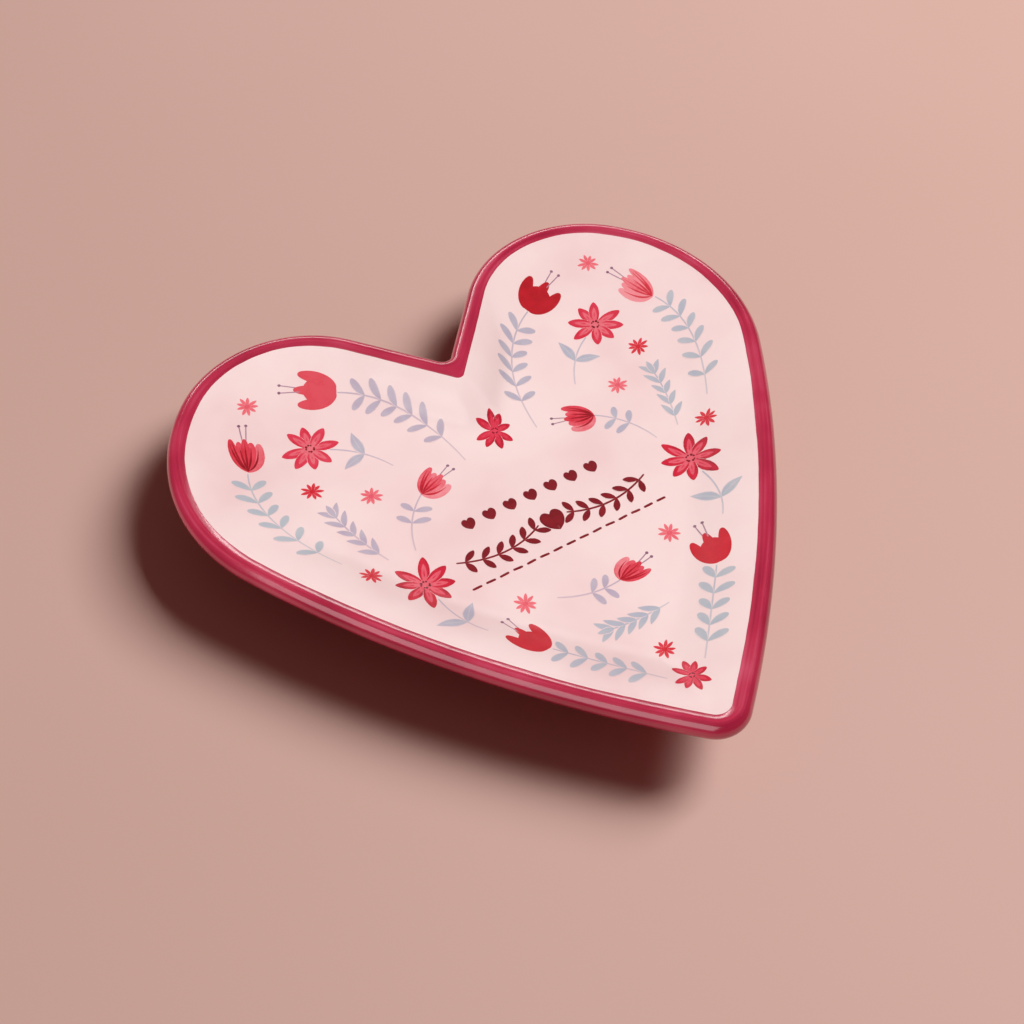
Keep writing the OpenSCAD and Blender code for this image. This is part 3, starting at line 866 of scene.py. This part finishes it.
flowers = {
    "tulips": [            # name, place, height, width, turn, kind, tone right and left
        ("tulipUpper", (25.2, 44.3), 8.3, 7.8, 63, "plainMirrored", (1.0, 0.0)),
        ("tulipOuter", (43.7, 35.9), 8.4, 6.0, -18, "striped", (0.15, 0.75)),
        ("tulipInner", (16.1, 14.3), 6.3, 6.4, -68, "striped", (0.65, 0.4)),
        ("tulipLower", (19, -25.8), 7.8, 6.4, 13, "plain", (0.62, 0.6)),
    ],
    "daisies": [           # name, place, radius, tones of outline and inside right and left
        ("daisyUpper", (32.0, 33.1), 5.4, ((0.75, 0.08), (0.65, 0.05))),
        ("daisyLower", (28.5, -5.5), 5.6, ((0.98, 0.18), (0.98, 0.2))),
    ],
    "petals": {            # heading of each petal, clockwise, and its share of the radius
        "daisyUpper": ((-10, 0.93), (28, 0.96), (90, 1.07), (125, 1.05),
                       (164, 0.92), (206, 0.93), (261, 1.04), (306, 1.02)),
        "daisyLower": ((-24, 1.14), (31, 1.12), (69, 0.95), (121, 0.99),
                       (165, 1.18), (208, 0.98), (250, 0.96), (291, 1.0)),
        "daisyMiddle": ((-28, 1.0), (17, 1.12), (43, 1.0), (90, 0.79),
                        (156, 1.0), (193, 1.1), (232, 1.02), (268, 0.98)),
        "daisyTip": ((12, 1.1), (46, 0.89), (96, 0.82), (150, 1.03),
                     (190, 1.11), (233, 1.0), (267, 1.05), (333, 1.11)),
    },
    "stars": [
        ("starLobe", (38.5, 46.2), "coral"),
        ("starOuter", (36.2, 23.8), "red"),
        ("starInner", (27.2, 17.5), "coral"),
        ("starSide", (36.1, 0.3), "red"),
        ("starLower", (15.3, -17.9), "coral"),
    ],
    "sprigs": {            # start, bend and end of the stem, leaf pairs and the share of stem they span,
                           # leaf lengths and lean left and right, length of a leaf on the end
        "lobeSprig": {
            "points": ((21.6, 42.1), (9.3, 35.8), (7.9, 16.1)),
            "pairs": 6, "span": (0.2, 0.8), "lengths": (4.4, 3.9), "width": 1.75,
            "lean": (38, 62), "shape": "paddle", "end": 0, "tints": (0.7, 0.95),
        },
        "outerSprig": {
            "points": ((45.3, 31.6), (49.6, 21.1), (39.5, 4.9)),
            "pairs": 6, "span": (0.18, 0.86), "lengths": (3.7, 4.2), "width": 1.7,
            "lean": (62, 42), "shape": "paddle", "end": 0, "tints": (0.25, 0.1),
        },
        "daisyStem": {
            "points": ((28.7, 31.4), (23.4, 28.7), (20.2, 21.9)),
            "pairs": 1, "span": (0.55, 0.55), "lengths": (6.2, 5.4), "width": 2.4,
            "lean": (42, 63), "shape": "lance", "end": 0, "tints": (0.45, 0.7),
        },
        "budSprig": {
            "points": ((19, 13.2), (24.6, 9.1), (26.2, 2.2)),
            "pairs": 2, "span": (0.32, 0.53), "lengths": (3.5, 3.1), "width": 1.55,
            "lean": (70, 62), "shape": "paddle", "end": 0, "tints": (0.6, 1.0),
        },
        "fernSprig": {
            "points": ((35.2, 16.9), (34.6, 10.6), (31.4, 2.8)),
            "pairs": 5, "span": (0.06, 0.86), "lengths": (3.8, 3.8), "width": 1.4,
            "lean": (34, 34), "shape": "feather", "end": 3.2, "tints": (0.3, 0.95),
        },
        "lowerStem": {
            "points": ((28.2, -9.7), (28.3, -16.6), (24.6, -21)),
            "pairs": 1, "span": (0.65, 0.65), "lengths": (6.0, 5.8), "width": 2.4,
            "lean": (62, 50), "shape": "lance", "end": 0, "tints": (0.25, 0.6),
        },
        "tipSprig": {
            "points": ((17.1, -29.7), (10.4, -37.5), (3.8, -44.9)),
            "pairs": 5, "span": (0.14, 0.82), "lengths": (3.7, 3.9), "width": 1.75,
            "lean": (40, 56), "shape": "paddle", "end": 0, "tints": (0.15, 0.35),
        },
    },
    "levelSprigs": {
        "levelSprig": {
            "points": ((1.9, -22.1), (-4.3, -22.9), (-9.8, -19.6)),
            "pairs": 2, "span": (0.29, 0.49), "lengths": (3.1, 3.3), "width": 1.5,
            "lean": (58, 62), "shape": "paddle", "end": 0, "tint": 0.95,
        },
        "levelFern": {
            "points": ((-5.1, -30.2), (0, -31.1), (6.6, -30.6)),
            "pairs": 5, "span": (0.03, 0.84), "lengths": (3.8, 3.8), "width": 1.4,
            "lean": (34, 34), "shape": "feather", "end": 3.2, "tint": 0.3,
        },
    },
}


def makeFlowers(inks):
    petals = flowers["petals"]
    for hand, side in enumerate((1, -1)):
        tail = ("_right", "_left")[hand]
        for name, at, height, width, turn, kind, tones in flowers["tulips"]:
            tulip(name + tail, at, height, width, turn, side, inks["tulip"], kind, tones[hand])
        for name, at, radius, tones in flowers["daisies"]:
            daisy(name + tail, at, radius, petals[name], side, inks["daisy"], tones[hand])
        for name, at, colour in flowers["stars"]:
            star(name + tail, at, 2.1, 8, side, inks[colour])
        for name, plan in flowers["sprigs"].items():
            sprig(name + tail, plan, side, inks["leaf"], plan["tints"][hand])
    # what stands alone near the centre line
    tulip("tulipLevel", (4.7, -21.4), 5.9, 5.3, 77, 1, inks["tulip"], "striped", 0.6)
    daisy("daisyMiddle", (0.5, 19.5), 4.2, petals["daisyMiddle"], 1, inks["daisy"], (0.98, 0.6))
    daisy("daisyTip", (0.2, -46.3), 3.4, petals["daisyTip"], 1, inks["daisy"], (0.95, 0.4))
    star("starTip", (0.2, -38.5), 2.0, 0, 1, inks["red"])
    for name, plan in flowers["levelSprigs"].items():
        sprig(name, plan, 1, inks["leaf"], plan["tint"])


ornament = {
    "rowX": -1.7,
    "rowY": 2.6,
    "rowStep": 4.4,
    "garlandX": -1.2,
    "garlandY": -4.6,
    "branch": ((3, -4.2), (11, -8.4), (20.2, -4)),
    "leafPairs": 6,
    "leafLean": 52,
    "leafLength": 3.0,
    "dashY": -10.6,
    "dashStep": 2.8,
}


def littleHeart(sheet, at, radius):
    toDish = placed(at, 0, 1)
    for s in (-1, 1):
        addStroke(sheet, curve3(toDish, (0, -radius), (s * 0.62 * radius, -0.1 * radius),
                                (s * 0.34 * radius, 0.95 * radius)),
                  radius * 1.05, "lobe", (0.5, 0.6), opaque, across=6, along=14)


def makeOrnament(ink):
    # generic garland where such dishes carry a line of words
    row = newSheet()
    for k in range(-3, 4):
        littleHeart(row, (ornament["rowX"] + ornament["rowStep"] * k, ornament["rowY"]), 1.35)
    finishSheet("ornamentHearts", row, ink, "maroon_print", "ornament_print")
    garland = newSheet()
    middle = ornament["garlandX"]
    littleHeart(garland, (middle, ornament["garlandY"]), 2.4)
    for side in (-1, 1):
        toDish = placed((middle, 0), 0, 1)
        spine = curve3(toDish, *[(side * x, y) for x, y in ornament["branch"]])
        addStroke(garland, spine, 0.36, "bar", (0.5, 0.5), opaque, across=2, along=24)
        for k in range(ornament["leafPairs"]):
            t = 0.08 + 0.84 * k / (ornament["leafPairs"] - 1)
            d = (spine(max(t - 0.02, 0)) - spine(min(t + 0.02, 1))).normalized()
            for s in (-1, 1):
                ray = aside(d, s * ornament["leafLean"])
                root = spine(t) + ray * 0.1
                blade = line2(Vector, root, root + ray * ornament["leafLength"])
                addStroke(garland, blade, 1.3, "petal", (0.5, 0.6), (3, 3), across=4, along=10)
    finishSheet("ornamentGarland", garland, ink, "maroon_print", "ornament_print")
    dashes = newSheet()
    for k in range(-7, 8):
        at = (middle + ornament["dashStep"] * k, ornament["dashY"])
        toDish = placed(at, 3.5 * math.sin(k * 2.7), 1)
        addStroke(dashes, line2(toDish, (-1.0, 0), (1.0, 0)), 0.5, "bar", (0.5, 0.6), (3, 3),
                  across=4, along=6)
    finishSheet("ornamentDashes", dashes, ink, "maroon_print", "ornament_print")


view = {
    "lens": 56.25,         # on a 36 mm sensor
    "elevation": 51.8,
    "azimuth": -30.9,      # the lens looks along +Y turned by this, so the notch points away to the left
    "distance": 287.2,
    "aim": (-8.6, -2.6, 14.7),
}
viewAcross = Vector((cosD(view["azimuth"]), sinD(view["azimuth"]), 0))
viewAway = Vector((-sinD(view["azimuth"]), cosD(view["azimuth"]), 0))


def makeCamera():
    data = bpy.data.cameras.new("camera")
    data.lens = view["lens"]
    data.sensor_width = 36
    data.clip_start = 0.01
    data.clip_end = 10
    camera = bpy.data.objects.new("camera", data)
    bpy.context.scene.collection.objects.link(camera)
    back = -viewAway * cosD(view["elevation"]) + Vector((0, 0, sinD(view["elevation"])))
    camera.location = (Vector(view["aim"]) + back * view["distance"]) * mm
    camera.rotation_euler = (-back).to_track_quat("-Z", "Y").to_euler()
    bpy.context.scene.camera = camera


# The table and the dish have a key each, so the shadow stays deep. Only the low and the rear panels
# are mirrored in the glaze, so the prints keep their colour.
panels = [                 # name, degrees right of straight away, elevation, mm off, width, height,
                           # radiance, what it shines on, whether the glaze mirrors it
    ("tableKey", 60, 46, 1600, 760, 760, 19.0, "table", False),
    ("dishKey", 60, 46, 800, 380, 380, 6.0, "dish", False),
    ("farPanel", -6, 28, 820, 900, 240, 0.9, "dish", True),
    ("rimStrip", -6, 24, 820, 900, 60, 6.0, "rim", True),
    ("topPanel", -60, 75, 800, 900, 700, 1.7, "dish", False),
    ("fillPanel", -150, 48, 850, 900, 700, 1.8, "dish", True),
]
glow = {
    "colour": "#ee9c96",   # the pink table lights the dish from all round
    "strength": 0.16,
}
table = {
    "colours": ((0.3, "#cba99d"), (0.7, "#d0afa4")),
    "cloudMm": 260.0,
    "roughness": 0.7,
    "reach": 3000,
}
lit = {}                   # the collections that the lamps shine on


def makeStudio():
    for name in ("table", "dish", "rim"):
        lit[name] = bpy.data.collections.new(name)
    for name, turn, elevation, distance, width, height, radiance, target, mirrored in panels:
        data = bpy.data.lights.new(name, "AREA")
        data.shape = "RECTANGLE"
        data.size = width * mm
        data.size_y = height * mm
        data.energy = radiance * math.pi * width * height * mm * mm
        data.color = (1.0, 1.0, 1.0)
        lamp = bpy.data.objects.new(name, data)
        bpy.context.scene.collection.objects.link(lamp)
        flat = viewAcross * sinD(turn) + viewAway * cosD(turn)
        lamp.location = (flat * cosD(elevation) + Vector((0, 0, sinD(elevation)))) * distance * mm
        lamp.rotation_euler = (-lamp.location).to_track_quat("-Z", "Y").to_euler()
        lamp.visible_glossy = mirrored
        lamp.light_linking.receiver_collection = lit[target]
    world = bpy.data.worlds.new("world")
    world.use_nodes = True
    tree = world.node_tree
    tree.nodes.clear()
    air = addNode(tree, "ShaderNodeBackground", {"Color": linear(glow["colour"]),
                                                 "Strength": glow["strength"]})
    addNode(tree, "ShaderNodeOutputWorld", {"Surface": air})
    bpy.context.scene.world = world
    bpy.context.scene.view_settings.view_transform = "Standard"


def makeFloor():
    # matt painted table top: plain, with no sheen to mirror the dish
    material, tree, shader = newMaterial("PalePaintedTable")
    place = addNode(tree, "ShaderNodeTexCoord").outputs["Object"]
    tone = addNode(tree, "ShaderNodeTexNoise", {"Vector": place, "Scale": perMetre(table["cloudMm"])})
    colour = addNode(tree, "ShaderNodeValToRGB", {"Fac": tone}, stops=table["colours"])
    tree.links.new(colour.outputs["Color"], shader.inputs["Base Color"])
    shader.inputs["Roughness"].default_value = table["roughness"]
    reach = table["reach"] * mm
    corners = [(x * reach, y * reach, 0.0) for x, y in ((-1, -1), (1, -1), (1, 1), (-1, 1))]
    floor = makeObject("floor", corners, [(0, 1, 2, 3)], [(0, 0), (1, 0), (1, 1), (0, 1)])
    floor.data.materials.append(material)
    lit["table"].objects.link(floor)


makeCamera()
makeStudio()
makeFloor()
print("camera, lights and table ready")

blushGlaze = makeBlushGlaze()
makeClayBody(makeClay())
makeInnerGlaze(blushGlaze)
makeRimGlaze(makeRaspberry())
makeBaseGlaze(blushGlaze)
print("body and glazes ready")

inks = {                   # plain tulips, striped tulips and stamens each have their own
    "tulip": (makeInk("RedWatercolourPrint"), makeInk("StripedWatercolourPrint"), makeInk("MauveFinePrint")),
    "daisy": makeInk("CoralWatercolourPrint"),
    "coral": makeInk("LightCoralPrint"),
    "red": makeInk("BrightRedPrint"),
    "leaf": makeInk("BlueGreyWashPrint"),
}
makeFlowers(inks)
makeOrnament(makeInk("DarkMaroonPrint"))
print("prints ready")
